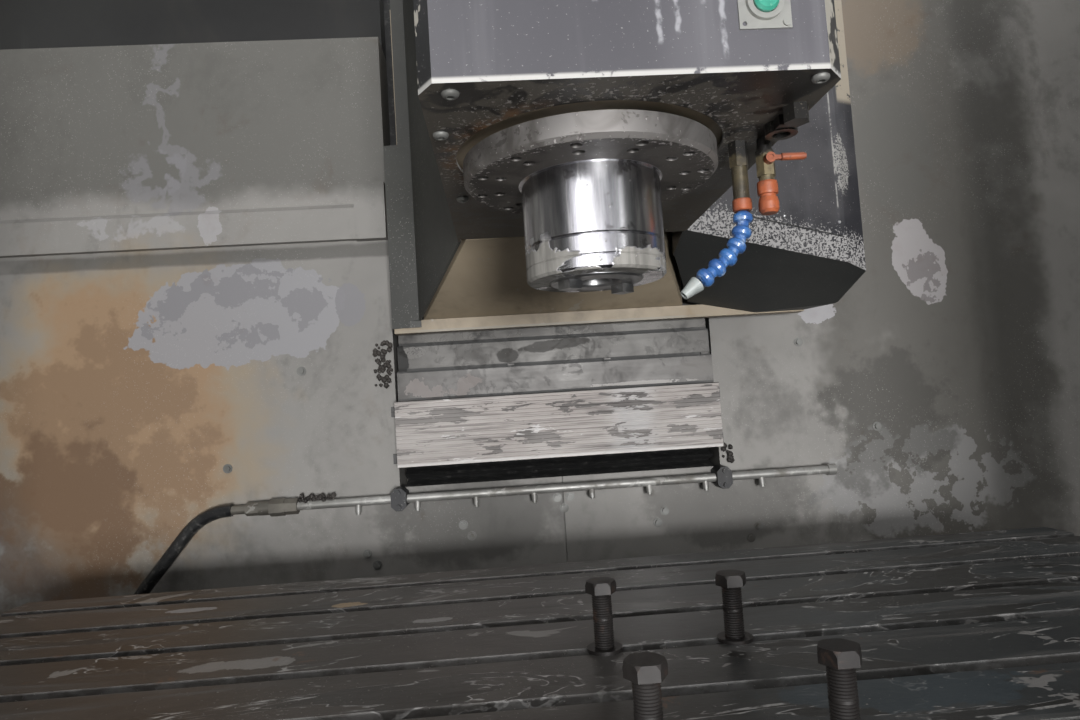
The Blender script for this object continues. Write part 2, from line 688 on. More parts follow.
@dataclass(frozen=True)
class HousingSteel:
    """The spindle housing: ground nose, dull flange with a grimy face and a crust of dried coolant."""

    name: str
    nose_z: float = 332.0

    def material(self) -> bpy.types.Material:
        """Build the material.

        Height along the axis and distance from it choose between nose, flange rim and flange face;
        the nose carries drawn smears, the rim fine crumbs and the lowest ring a pale crust.

        Returns:
            The material.
        """
        g = Graph(self.name)
        x, _, z = g.parts()
        under = g.facing(0, 0, -1, 0.6, 0.9)
        centre = g.node("ShaderNodeVectorMath", {"operation": "MULTIPLY_ADD"},
                        {0: g.coords(), 1: (1, 1, 0), 2: (0, AXIS_Y, 0)})
        radius = g.node("ShaderNodeVectorMath", {"operation": "LENGTH"}, {0: centre}, output="Value")
        outer = radius.ease(0.0685, 0.0695)
        nose = 1 - outer
        low = self.nose_z / 1000 + TABLE_Z
        smear = g.noise(55.0, (1, 1, 0.10), 5.0, 0.65, 0.4, 2.0)
        cloud = g.noise(16.0, detail=6.0, rough=0.62, warp=0.8, shift=4.0)
        polish = g.mix(smear.ease(0.42, 0.62), (0.70, 0.695, 0.72), (0.33, 0.325, 0.35))
        dull = g.mix(cloud.ease(0.40, 0.62), (0.24, 0.228, 0.22), (0.13, 0.12, 0.112))
        face = g.mix(cloud.ease(0.45, 0.60), (0.072, 0.064, 0.056), (0.035, 0.030, 0.026))
        colour = g.mix(outer, polish, dull)
        crust = cloud + (z - low).ease(0.030, 0.012) * 0.22 + x.ease(0.03, -0.05) * 0.06
        crust = crust.ease(0.69, 0.73) * nose
        crust = crust * (z - low).ease(0.040, 0.028)
        colour = g.mix(crust, colour, g.mix(smear.ease(0.4, 0.6), (0.27, 0.26, 0.24), (0.17, 0.163, 0.15)))
        colour = g.mix(under * outer, colour, face)
        lip = radius.ease(0.095, 0.119) * under
        crumbs = g.grains(lip * 0.34 + outer * 0.05, 260.0)
        colour = g.mix(crumbs * 0.85, colour, (0.42, 0.39, 0.38))
        stain = g.noise(34.0, detail=8.0, rough=0.68, warp=0.5, shift=9.0).ease(0.58, 0.62) * 0.8
        colour = g.mix(stain * nose * (1 - crust) * 0.7, colour, (0.12, 0.11, 0.11))
        colour = g.mix(stain * outer * 0.6, colour, (0.05, 0.042, 0.036))
        metal = (1.0 - crust * 0.9 - under * outer * 0.85 - crumbs * 0.4 - outer * 0.30).top(0.0)
        rough = 0.17 + smear * 0.14 + crust * 0.5 + outer * 0.26 + under * outer * 0.1
        height = crust * 0.6 + crumbs * 0.7 + g.noise(300.0, (1, 1, 0.1), 3.0) * 0.08
        return g.finish(colour, rough.low(0.9), metal, height, 0.0008)


@dataclass(frozen=True)
class SlatSteel:
    """The stack of slats: a dull pinkish film over steel, worn off in long dark islands."""

    name: str

    def material(self) -> bpy.types.Material:
        """Build the material from noises stretched along the slats and a bright lower edge."""
        g = Graph(self.name)
        x, _, z = g.parts()
        tone = g.noise(9.0, (0.4, 1, 1), 5.0, 0.6, 0.4)
        line = g.noise(160.0, (0.03, 0.3, 1), 4.0, 0.65, shift=1.0)
        colour = g.mix(tone.ease(0.36, 0.64), (0.37, 0.337, 0.32), (0.46, 0.43, 0.412))
        colour = g.mix(line.ease(0.50, 0.62) * 0.7, colour, (0.19, 0.172, 0.165))
        bands = abs(z - 0.213 - TABLE_Z).ease(0.022, 0.008).top(abs(z - 0.158 - TABLE_Z).ease(0.016, 0.006))
        island = g.noise(44.0, (0.28, 1, 1.3), 6.0, 0.64, 0.3, 5.0) + bands * 0.075
        bare = island.ease(0.590, 0.600)
        colour = g.mix(bare, colour, g.mix(tone.ease(0.4, 0.6), (0.15, 0.14, 0.135), (0.26, 0.245, 0.235)))
        white = g.noise(30.0, (0.4, 1, 1.6), 8.0, 0.64, 0.3, 12.0).ease(0.625, 0.635)
        colour = g.mix(white, colour, (0.60, 0.58, 0.57))
        sheen = abs(x - 0.125).ease(0.055, 0.012) * 0.55
        colour = g.mix(sheen * (1 - bare), colour, (0.66, 0.65, 0.65))
        edge = (z - 0.1335 - TABLE_Z).ease(0.0, -0.003)
        colour = g.mix(edge * 0.8, colour, (0.68, 0.66, 0.64))
        top = (z - 0.2372 - TABLE_Z).ease(0.0, 0.0008)
        colour = g.mix(top, colour, (0.03, 0.028, 0.026))
        tab = abs(x).ease(0.2814, 0.2818)
        colour = g.mix(tab, colour, (0.03, 0.028, 0.026))
        rough = 0.42 + tone * 0.12 - sheen * 0.2 + bare * 0.1
        metal = 0.35 + bare * 0.2 + sheen * 0.3
        return g.finish(colour, rough, metal * (1 - tab), line * 0.35 - bare * 0.4, 0.0007)


@dataclass(frozen=True)
class ValveBrass:
    """The valves: black greasy upper parts, dull brass below."""

    name: str

    def material(self) -> bpy.types.Material:
        """Build the material: grease takes over with height and towards the front plug."""
        g = Graph(self.name)
        x, y, z = g.parts()
        tone = g.noise(60.0, detail=5.0, rough=0.65)
        brass = g.mix(tone.ease(0.4, 0.6), (0.185, 0.15, 0.085), (0.10, 0.082, 0.055))
        front = (0.0 - y).ease(0.402, 0.410)
        grease = (z + (tone - 0.5) * 0.02).ease(0.434 + TABLE_Z, 0.441 + TABLE_Z).top(front)
        grease = grease.top(x.ease(0.154, 0.150) * 0.55)
        colour = g.mix(grease, brass, (0.014, 0.013, 0.012))
        crumbs = g.grains(0.16, 420.0)
        colour = g.mix(crumbs * 0.6, colour, (0.16, 0.14, 0.11))
        return g.finish(colour, 0.42 - grease * 0.12 + crumbs * 0.2, 0.5 - grease * 0.4,
                        tone * 0.4 + crumbs, 0.0006)


@dataclass(frozen=True)
class TableIron:
    """The table: oily dark iron with a flaking film, long scuffs, crumbs and rust spots."""

    name: str

    def material(self) -> bpy.types.Material:
        """Build the material.

        Scuffs are noise stretched along X, the film flakes where a warped noise crosses a level,
        which leaves a pale outline, and crumbs are fine grains.

        Returns:
            The material.
        """
        g = Graph(self.name)
        x, y, _ = g.parts()
        top = g.facing(0, 0, 1, 0.6, 0.9)
        tone = g.noise(5.0, (0.6, 1, 1), 6.0, 0.62, 0.5)
        fine = g.noise(75.0, (0.6, 1, 1), 6.0, 0.66, shift=2.0)
        right = x.ease(-0.25, 0.25)
        base = g.mix(right, g.mix(tone.ease(0.4, 0.6), (0.036, 0.029, 0.024), (0.060, 0.050, 0.043)),
                     g.mix(tone.ease(0.4, 0.6), (0.026, 0.029, 0.030), (0.048, 0.053, 0.055)))
        scuff = g.noise(34.0, (0.10, 1, 1), 6.0, 0.66, 0.3, 6.0).ease(0.52, 0.70)
        colour = g.mix(scuff * 0.55, base, (0.13, 0.122, 0.115))
        film = g.noise(10.0, (0.45, 1, 1), 9.0, 0.66, 0.9, 11.0)
        flake = film.ease(0.545, 0.555)
        colour = g.mix(flake * 0.65, colour, (0.014, 0.012, 0.010))
        outline = abs(film - 0.55).ease(0.008, 0.003) * fine.ease(0.42, 0.60)
        colour = g.mix(outline * 0.9, colour, (0.36, 0.35, 0.34))
        patch = g.noise(17.0, (0.5, 1, 1), 9.0, 0.7, 0.6, 21.0).ease(0.625, 0.64)
        colour = g.mix(patch * 0.75, colour, (0.24, 0.23, 0.22))
        for cx, cy, w, h, tint, amount in ((-293, 185, 26, 10, (0.33, 0.23, 0.13), 0.9),
                                           (-482, 216, 30, 9, (0.30, 0.30, 0.31), 0.8),
                                           (-346, 0, 60, 14, (0.24, 0.23, 0.22), 0.7),
                                           (-186, 96, 22, 8, (0.36, 0.35, 0.34), 0.6),
                                           (172, -168, 90, 30, (0.035, 0.05, 0.06), 0.7)):
            spot = g.blob(x, y, (cx / 1000, cy / 1000 - AXIS_Y), (w / 1000, h / 1000), 4.0, 30.0, 0.08)
            colour = g.mix(spot * amount, colour, tint)
        red = g.noise(22.0, detail=8.0, rough=0.7, warp=0.4, shift=15.0).ease(0.66, 0.72)
        colour = g.mix(red * 0.5, colour, (0.13, 0.06, 0.028))
        wall = 1 - top
        lit = g.mix(fine.ease(0.4, 0.62), (0.10, 0.095, 0.09), (0.21, 0.205, 0.20))
        colour = g.mix(wall * 0.55 * (1 - flake * 0.5), colour, lit)
        crumbs = g.grains(g.noise(6.0, detail=4.0, shift=9.0).ease(0.45, 0.68) * 0.22 + 0.04, 300.0)
        colour = g.mix(crumbs * 0.75, colour, (0.30, 0.28, 0.26))
        rough = 0.36 + scuff * 0.18 + tone * 0.1 + crumbs * 0.3 - flake * 0.06
        height = fine * 0.3 + crumbs * 0.8
        return g.finish(colour, rough, 0.12, height, 0.0011)


@dataclass
class Finishes:
    """All finishes by the record's slot or the node's name."""

    made: dict[str, bpy.types.Material] = field(default_factory=dict)

    def build(self) -> None:
        """Make every finish once."""
        wall = ((0.245, 0.235, 0.22), (0.20, 0.192, 0.18))
        panel = ((0.44, 0.435, 0.40), (0.37, 0.365, 0.335))
        for finish in (
            Paint("wall_left_paint", *wall, dirt=0.4, runs=0.10, rusting=0.06, rough=0.5, specks=0.25,
                  patches=WALL_PATCHES),
            Paint("wall_right_paint", *wall, dirt=0.45, runs=0.10, rusting=0.05, rough=0.5, specks=0.3,
                  patches=RIGHT_PATCHES),
            Paint("panel_enamel", *panel, dirt=0.12, runs=0.05, rough=0.36),
            Paint("apron_enamel", (0.48, 0.47, 0.43), (0.41, 0.40, 0.37), dirt=0.25, runs=0.1, chips=0.2),
            Paint("guard_paint", (0.012, 0.012, 0.012), (0.02, 0.02, 0.019), dirt=0.3, rough=0.6),
            Paint("casting_enamel", (0.36, 0.295, 0.21), (0.27, 0.22, 0.155), dirt=0.35, runs=0.08, chips=0.1,
                  rough=0.40, rusting=0.08, under=(0.30, 0.27, 0.22),
                  patches=(Patch((0, 353.5), (240, 2.6), (0.28, 0.255, 0.215), 0.6, 0.75, scale=40.0,
                                 soft=0.4,
                                 square=True),
                           Patch((0, 345), (420, 5.5), (0.02, 0.019, 0.018), 0.3, 0.9, scale=40.0, soft=0.3,
                                 square=True))),
            Paint("bed_enamel", (0.34, 0.34, 0.31), (0.26, 0.26, 0.235), dirt=0.5, chips=0.2),
            CoverPaint("cover_enamel"),
            Paint("wing_enamel", (0.052, 0.052, 0.046), (0.038, 0.038, 0.035), dirt=0.3, runs=0.05,
                  specks=0.9,
                  rough=0.42, speck_colour=(0.20, 0.20, 0.18)),
            BoxPaint("box_enamel"),
            Paint("pan_paint", (0.10, 0.10, 0.10), (0.06, 0.06, 0.058), dirt=0.6, chips=0.5, rusting=0.5),
            Paint("tank_paint", (0.15, 0.16, 0.17), (0.11, 0.115, 0.12), dirt=0.3, chips=0.2),
            Paint("pump_paint", (0.05, 0.13, 0.23), (0.04, 0.10, 0.18), dirt=0.3, rough=0.3),
            Paint("motor_paint", (0.03, 0.032, 0.036), (0.05, 0.052, 0.055), dirt=0.3, rough=0.4),
            Paint("spindle_motor_paint", (0.17, 0.18, 0.19), (0.22, 0.23, 0.24), dirt=0.25, rough=0.4),
            Paint("clamp_black", (0.02, 0.02, 0.022), (0.04, 0.04, 0.042), dirt=0.4, specks=0.4, rough=0.5),
            TableIron("table_iron"),
            HousingSteel("ground_steel"),
            Steel("spindle_steel", (0.40, 0.40, 0.41), (0.26, 0.26, 0.26), rough=0.28, stains=0.6,
                  scratch=(0.05, 0.05, 1.0), scratch_scale=150.0, residue=0.5),
            SlatSteel("slat_steel"),
            Steel("strip_steel", (0.095, 0.09, 0.083), (0.060, 0.056, 0.052), rough=0.42, stains=0.7,
                  metal=0.35, scratch=(0.05, 1.0, 1.0), scratch_scale=120.0, residue=0.4,
                  residue_colour=(0.20, 0.19, 0.175), stain=(0.03, 0.028, 0.026),
                  patches=(Patch((0, 337), (290, 2.4), (0.02, 0.02, 0.02), 1.2, 0.85, square=True,
                                 soft=0.4),)),
            Steel("plate_ab_steel", (0.085, 0.081, 0.076), (0.058, 0.055, 0.051), rough=0.40,
                  stains=0.55, metal=0.4, scratch=(0.05, 1.0, 1.0), scratch_scale=120.0, residue=0.35,
                  residue_colour=(0.15, 0.143, 0.134), stain=(0.05, 0.046, 0.042),
                  patches=(Patch((-86, 308), (19, 14), (0.045, 0.042, 0.038), 2.4, 0.9, scale=26.0),
                           Patch((-5, 322), (60, 9), (0.05, 0.046, 0.042), 4.0, 0.8, scale=22.0, tilt=4.0),
                           Patch((-248, 322), (24, 10), (0.18, 0.172, 0.162), 3.0, 0.8, Fill.GRAINS, 0.7),
                           Patch((-285, 306), (28, 44), (0.012, 0.011, 0.010), 2.6, 0.95, scale=26.0),
                           Patch((0, 333.8), (290, 1.4), (0.015, 0.015, 0.015), 0.4, 0.9, square=True,
                                 soft=0.3),
                           Patch((0, 292), (290, 2.4), (0.02, 0.02, 0.02), 1.4, 0.8, square=True, soft=0.5))),
            Steel("plate_bc_steel", (0.078, 0.074, 0.070), (0.058, 0.054, 0.051), rough=0.38,
                  stains=0.45, metal=0.4, scratch=(0.05, 1.0, 1.0), scratch_scale=120.0, residue=0.3,
                  residue_colour=(0.15, 0.141, 0.135), stain=(0.07, 0.065, 0.06),
                  patches=(Patch((-205, 262), (66, 22), (0.22, 0.197, 0.187), 3.8, 0.9, Fill.BROKEN, 0.7,
                                 30.0, 0.05),
                           Patch((-20, 262), (18, 13), (0.22, 0.197, 0.187), 3.6, 0.8, Fill.BROKEN, 0.8,
                                 30.0, 0.1),
                           Patch((160, 246), (95, 3.5), (0.40, 0.38, 0.365), 3.0, 0.9, Fill.BROKEN, 0.9,
                                 30.0, 0.1),
                           Patch((250, 266), (40, 22), (0.20, 0.188, 0.176), 2.0, 0.7, scale=12.0, soft=0.5),
                           Patch((0, 288.8), (290, 1.5), (0.015, 0.015, 0.015), 0.4, 0.9, square=True,
                                 soft=0.3),
                           Patch((0, 241), (290, 2.2), (0.02, 0.02, 0.02), 1.2, 0.85, square=True,
                                 soft=0.4))),
            Steel("screw_steel", (0.33, 0.33, 0.33), (0.24, 0.24, 0.235), rough=0.33, stains=0.5),
            Steel("zinc_steel", (0.20, 0.20, 0.19), (0.13, 0.13, 0.122), rough=0.5, stains=0.6, metal=0.4),
            Steel("pipe_steel", (0.36, 0.355, 0.34), (0.24, 0.235, 0.22), rough=0.42, stains=0.6, metal=0.6,
                  residue=0.3),
            Steel("bolt_steel", (0.014, 0.012, 0.0115), (0.026, 0.0225, 0.021), rough=0.42, stains=0.5,
                  rust=0.2,
                  metal=0.4, stain=(0.012, 0.010, 0.009)),
            Steel("old_brass", (0.17, 0.158, 0.135), (0.10, 0.093, 0.080), rough=0.45, stains=0.7, metal=0.5,
                  residue=0.2),
            ValveBrass("valve_brass"),
            Steel("plate_alloy", (0.34, 0.34, 0.32), (0.24, 0.24, 0.228), rough=0.38, stains=0.4, metal=0.6,
                  scratch=(0.05, 1.0, 1.0)),
            Moulded("hose_rubber", (0.012, 0.012, 0.013), (0.022, 0.022, 0.022), rough=0.30, dusty=0.3),
            Moulded("bellows_cloth", (0.010, 0.010, 0.010), (0.018, 0.018, 0.018), rough=0.55, dusty=0.15),
            Moulded("gasket_rubber", (0.014, 0.014, 0.015), (0.024, 0.024, 0.024), rough=0.5, dusty=0.15),
            Moulded("button_green", (0.03, 0.20, 0.14), (0.045, 0.27, 0.19), rough=0.22, dusty=0.3, coat=0.5),
            Moulded("orange_plastic", (0.34, 0.088, 0.033), (0.22, 0.060, 0.027), rough=0.42, dusty=0.9,
                    dust=(0.055, 0.035, 0.028)),
            Moulded("blue_plastic", (0.034, 0.095, 0.27), (0.045, 0.14, 0.36), rough=0.30, dusty=0.7,
                    dust=(0.36, 0.45, 0.56), coat=0.3),
            Moulded("nozzle_grey", (0.30, 0.325, 0.315), (0.20, 0.22, 0.215), rough=0.4, dusty=0.4),
            Moulded("stop_red", (0.42, 0.012, 0.010), (0.50, 0.02, 0.015), rough=0.25, dusty=0.1, coat=0.5),
            Moulded("screen_black", (0.010, 0.012, 0.014), (0.014, 0.016, 0.018), rough=0.12, dusty=0.08,
                    coat=0.6),
            Moulded("key_film", (0.20, 0.21, 0.22), (0.24, 0.25, 0.26), rough=0.45, dusty=0.2),
            Moulded("key_dome", (0.44, 0.44, 0.42), (0.38, 0.38, 0.36), rough=0.42, dusty=0.2),
            Paint("crust", (0.020, 0.017, 0.015), (0.045, 0.038, 0.033), dirt=0.3, specks=0.9, rough=0.55,
                  runs=0.0, speck_colour=(0.30, 0.27, 0.25)),
            Pane("safety_glass"),
        ):
            self.made[finish.name] = finish.material()
            LOG.info("finish %s", finish.name)

    def dress(self, node: bpy.types.Object, finish: str) -> None:
        """Give an object one finish in all its slots."""
        material = self.made[finish]
        if not node.material_slots:
            node.data.materials.append(material)
        for slot in node.material_slots:
            slot.material = material


CAD_FINISH: dict[str, tuple[str, ...]] = {
    "wall_left_paint": ("back_wall_left",),
    "wall_right_paint": ("back_wall_right", "pendant_arm"),
    "panel_enamel": ("side_wall_left", "side_wall_right", "front_panel_left", "front_panel_right",
                     "door_left",
                     "door_right", "electrical_cabinet", "cabinet_door", "control_pendant"),
    "apron_enamel": ("front_apron", "door_header"),
    "guard_paint": ("upper_guard",),
    "casting_enamel": ("head_casting",),
    "bed_enamel": ("bed", "column", "saddle"),
    "cover_enamel": ("head_cover",),
    "wing_enamel": ("wing_cover",),
    "box_enamel": ("side_box",),
    "pan_paint": ("chip_pan",),
    "tank_paint": ("coolant_tank",),
    "pump_paint": ("coolant_pump",),
    "motor_paint": ("x_motor", "y_motor", "z_motor"),
    "spindle_motor_paint": ("spindle_motor",),
    "clamp_black": ("pipe_clamps",),
    "table_iron": ("table",),
    "ground_steel": ("spindle_housing",),
    "spindle_steel": ("spindle", "spindle_shaft"),
    "slat_steel": ("slat_stack",),
    "strip_steel": ("cover_plate_1",),
    "plate_ab_steel": ("cover_plate_2",),
    "plate_bc_steel": ("cover_plate_3",),
    "screw_steel": ("levelling_feet", "x_screw", "y_screw", "z_screw"),
    "zinc_steel": ("wall_screws",),
    "pipe_steel": ("flush_pipe",),
    "bolt_steel": ("slot_bolts",),
    "old_brass": ("pipe_fittings",),
    "valve_brass": ("coolant_valves",),
    "plate_alloy": ("button_plate",),
    "button_green": ("release_button",),
    "orange_plastic": ("valve_lever", "hose_collars"),
    "blue_plastic": ("coolant_hose",),
    "nozzle_grey": ("hose_nozzle",),
    "stop_red": ("e_stop_button",),
    "safety_glass": ("door_window_left", "door_window_right"),
}


# ---------------------------------------------------------------- mesh forms


def sheet_faces(rows: int, columns: int, loop_rows: bool, loop_columns: bool) -> np.ndarray:
    """Quads of a grid of points numbered row by row.

    Args:
        rows: rows of points.
        columns: points in a row.
        loop_rows: whether the last row joins the first.
        loop_columns: whether a row's end joins its start.

    Returns:
        An array of four indices a face.
    """
    i = np.arange(rows if loop_rows else rows - 1)
    j = np.arange(columns if loop_columns else columns - 1)
    a, b = np.meshgrid(i, j, indexing="ij")
    a2, b2 = (a + 1) % rows, (b + 1) % columns
    quads = np.stack([a * columns + b, a * columns + b2, a2 * columns + b2, a2 * columns + b], axis=-1)
    return quads.reshape(-1, 4)


def closed_mesh(name: str, points: np.ndarray, loop_rows: bool, caps: bool) -> bpy.types.Object:
    """Turn rings of points into a closed object.

    Args:
        name: the piece's name.
        points: rings, points in a ring, xyz in the frame's metres; each ring is closed.
        loop_rows: whether the last ring joins the first.
        caps: whether the first and last ring are filled with one face each.

    Returns:
        The object, at the origin, with its normals outward.
    """
    rows, columns, _ = points.shape
    faces = sheet_faces(rows, columns, loop_rows, True).tolist()
    if caps:
        faces.append(list(range(columns))[::-1])
        faces.append(list(range((rows - 1) * columns, rows * columns)))
    flat = points.reshape(-1, 3)
    picked = np.concatenate([np.asarray(face)[[0, 1, 2]] for face in faces[: rows * columns]])
    corner = flat[picked].reshape(-1, 3, 3)
    centre = flat.mean(axis=0)
    normals = np.cross(corner[:, 1] - centre, corner[:, 2] - centre)
    volume = np.einsum("ij,ij->i", corner[:, 0] - centre, normals)
    if volume.sum() < 0:
        faces = [face[::-1] for face in faces]
    mesh = bpy.data.meshes.new(name)
    mesh.from_pydata(flat.tolist(), [], faces)
    mesh.validate()
    mesh.update()
    piece = bpy.data.objects.new(name, mesh)
    bpy.context.scene.collection.objects.link(piece)
    return piece


def smooth(piece: bpy.types.Object, angle: float = 35.0) -> None:
    """Shade smooth, with edges sharper than the angle kept sharp."""
    mesh = piece.data
    mesh.polygons.foreach_set("use_smooth", np.ones(len(mesh.polygons), bool))
    mesh.set_sharp_from_angle(angle=math.radians(angle))


def join(name: str, pieces: Sequence[bpy.types.Object]) -> bpy.types.Object:
    """Join objects that lie at the origin into one mesh.

    Args:
        name: the joined piece's name.
        pieces: the objects, which are used up.

    Returns:
        The joined object.
    """
    points, faces, start = [], [], 0
    for piece in pieces:
        count = len(piece.data.vertices)
        flat = np.empty(count * 3)
        piece.data.vertices.foreach_get("co", flat)
        points.append(flat.reshape(-1, 3))
        faces.extend([[v + start for v in polygon.vertices] for polygon in piece.data.polygons])
        start += count
        bpy.data.objects.remove(piece)
    mesh = bpy.data.meshes.new(name)
    mesh.from_pydata(np.concatenate(points).tolist(), [], faces)
    mesh.update()
    made = bpy.data.objects.new(name, mesh)
    bpy.context.scene.collection.objects.link(made)
    return made


def basis(axis: Sequence[float]) -> np.ndarray:
    """Two unit vectors across an axis and the axis itself, as rows."""
    w = np.asarray(axis, float)
    w = w / np.linalg.norm(w)
    helper = np.array([1.0, 0, 0]) if abs(w[0]) < 0.9 else np.array([0, 1.0, 0])
    u = np.cross(helper, w)
    u = u / np.linalg.norm(u)
    return np.stack([u, np.cross(w, u), w])


def turned(name: str, profile: Sequence[Sequence[float]], centre: Sequence[float], axis: Sequence[float],
           sides: int = 32) -> bpy.types.Object:
    """A turned form: point(s, t) = centre + r(s)(cos t u + sin t v) + h(s) w.

    Args:
        name: the piece's name.
        profile: radius and height pairs in millimetres from one end to the other.
        centre: the axis's start in machine millimetres.
        axis: direction of the axis.
        sides: points round the axis.

    Returns:
        The closed object.
    """
    u, v, w = basis(axis)
    line = np.asarray(profile, float)
    turn = np.linspace(0, 2 * math.pi, sides, endpoint=False)
    round_ = np.cos(turn)[None, :, None] * u + np.sin(turn)[None, :, None] * v
    points = np.asarray(centre, float) + line[:, 0, None, None] * round_ + line[:, 1, None, None] * w
    piece = closed_mesh(name, place(points), False, True)
    smooth(piece)
    return piece


def carried(name: str, section: np.ndarray, path: np.ndarray, closed: bool = False) -> bpy.types.Object:
    """A profile carried along a path.

    Each ring is path(i) + a(j) n(i) + b(j) m(i), with n and m across the path's tangent.

    Args:
        name: the piece's name.
        section: a and b pairs in millimetres.
        path: points in machine millimetres.
        closed: whether the path is a loop.

    Returns:
        The closed object.
    """
    line = np.asarray(path, float)
    if closed:
        tangent = np.roll(line, -1, 0) - np.roll(line, 1, 0)
    else:
        tangent = np.gradient(line, axis=0)
    tangent /= np.linalg.norm(tangent, axis=1)[:, None]
    up = np.array([0.0, 1.0, 0.0])
    n = np.cross(tangent, up)
    n /= np.linalg.norm(n, axis=1)[:, None]
    m = np.cross(n, tangent)
    points = line[:, None] + section[None, :, 0, None] * n[:, None] + section[None, :, 1, None] * m[:, None]
    piece = closed_mesh(name, place(points), closed, not closed)
    smooth(piece)
    return piece


def circle(radius: float, sides: int = 12) -> np.ndarray:
    """Points round a circle."""
    t = np.linspace(0, 2 * math.pi, sides, endpoint=False)
    return np.stack([radius * np.cos(t), radius * np.sin(t)], axis=1)


def rounded(width: float, height: float, radius: float, arc: int = 6) -> np.ndarray:
    """Outline of a rectangle with round corners, centred, counter-clockwise."""
    t = np.linspace(0, math.pi / 2, arc)
    corner = np.array([[1, 1], [-1, 1], [-1, -1], [1, -1]]) * (np.array([width, height]) / 2 - radius)
    turn = t[None] + np.arange(4)[:, None] * math.pi / 2
    arcs = corner[:, None] + radius * np.stack([np.cos(turn), np.sin(turn)], axis=-1)
    return arcs.reshape(-1, 2)


def pressed(name: str, outline: np.ndarray, centre: Sequence[float], axis: Sequence[float],
            steps: Sequence[Sequence[float]]) -> bpy.types.Object:
    """A pressed or moulded form: the outline shrunk by an inset at each height.

    Args:
        name: the piece's name.
        outline: x and y pairs in millimetres, convex and centred.
        centre: where the outline's centre stands, in machine millimetres.
        axis: direction of the height.
        steps: inset and height pairs.

    Returns:
        The closed object.
    """
    u, v, w = basis(axis)
    reach = np.abs(outline).max(axis=0)
    rings = [np.asarray(centre, float) + (outline * (1 - inset / reach)) @ np.stack([u, v]) + height * w
             for inset, height in steps]
    piece = closed_mesh(name, place(np.stack(rings)), False, True)
    smooth(piece, 25.0)
    return piece


# ---------------------------------------------------------------- sub-assemblies


@dataclass
class Dresser:
    """What every sub-assembly shares: the finishes and the way a piece is put in place."""

    finishes: Finishes

    def fit(self, piece: bpy.types.Object, body: str, finish: str, slot: str) -> bpy.types.Object:
        """Finish a piece, name its slot and let it ride on a body.

        Args:
            piece: the new piece.
            body: the CAD body that it moves with.
            finish: the finish's name.
            slot: the record's material slot.

        Returns:
            The piece.
        """
        self.finishes.dress(piece, finish)
        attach(piece, body)
        LOG.info("piece %s: %d faces", piece.name, len(piece.data.polygons))
        return piece

    def screws(self, name: str, spots: Sequence[Sequence[float]], axis: Sequence[float], radius: float,
               body: str, finish: str = "zinc_steel", slot: str = "zinc_screw") -> bpy.types.Object:
        """Domed screw heads with a socket.

        The head's profile rises as a quarter ellipse and drops into the socket.

        Args:
            name: the piece's name.
            spots: where the heads sit, in machine millimetres.
            axis: direction that they point.
            radius: of a head.
            body: the body that carries them.
            finish: the finish's name.
            slot: the record's material slot.

        Returns:
            One piece with all the heads.
        """
        r = radius
        profile = [(r * 0.98, 0), (r, 0.12 * r), (r * 0.92, 0.34 * r), (r * 0.74, 0.5 * r),
                   (r * 0.48, 0.56 * r), (r * 0.42, 0.52 * r), (r * 0.40, 0.18 * r), (r * 0.04, 0.12 * r)]
        heads = [turned(f"{name}_{i}", profile, spot, axis, 20) for i, spot in enumerate(spots)]
        piece = join(name, heads)
        smooth(piece)
        return self.fit(piece, body, finish, slot)


@dataclass
class FlushLine(Dresser):
    """The black flush hose, from the pipe's ferrule to the bulkhead socket on the wall."""

    bore: float = 21.0
    route: tuple[tuple[float, float, float], ...] = (
        (-563.5, 576, 73), (-569, 576, 73), (-584, 576, 71.6), (-599, 576, 67.6), (-613.5, 576, 61),
        (-626, 576, 52), (-637.5, 576, 41), (-651.5, 576, 24), (-665.5, 576, 7), (-679.5, 576, -10),
        (-693.5, 576, -27), (-707.5, 576, -43.5), (-716.5, 576, -56), (-724, 576, -69.5), (-729, 576, -84),
        (-732.5, 576, -99), (-733.5, 576, -114.5), (-733.5, 576, -140), (-733.5, 576, -166),
        (-733.5, 576, -192), (-733.5, 576, -218), (-733.5, 576, -232))

    def build(self) -> None:
        path = np.asarray(self.route, float)
        piece = carried("flush_hose_tube", circle(self.bore / 2, 16), path)
        self.finishes.dress(piece, "hose_rubber")
        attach(piece, "frame")
        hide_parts("flush_hose")
        at(*self.route[0])
        [at(*p) for p in self.route]


@dataclass
class Head(Dresser):
    """Fasteners and trim of the spindle head."""

    underside: float = 454.0
    box_face: tuple[float, float, float, float] = (183.0, 330.0, 424.0, 347.0)

    def box_y(self, x: float) -> float:
        """Depth of the side box's front face at a width."""
        x0, y0, x1, y1 = self.box_face
        return y0 + (y1 - y0) * (x - x0) / (x1 - x0)

    def build(self) -> None:
        """Make the screws under and on the covers."""
        z = self.underside
        spots = [(-122, -151, z), (161, -155, z), (-136, -71, z), (-128, 120, z)]
        self.screws("cover_underside_screws", spots, (0, 0, -1), 7.0, "head")
        spots = [(x, self.box_y(x), z) for x, z in ((331, 471.5), (415.5, 459.8))]
        self.screws("box_seam_screws", spots, (-0.07, -1, 0), 2.6, "head", "spindle_steel")


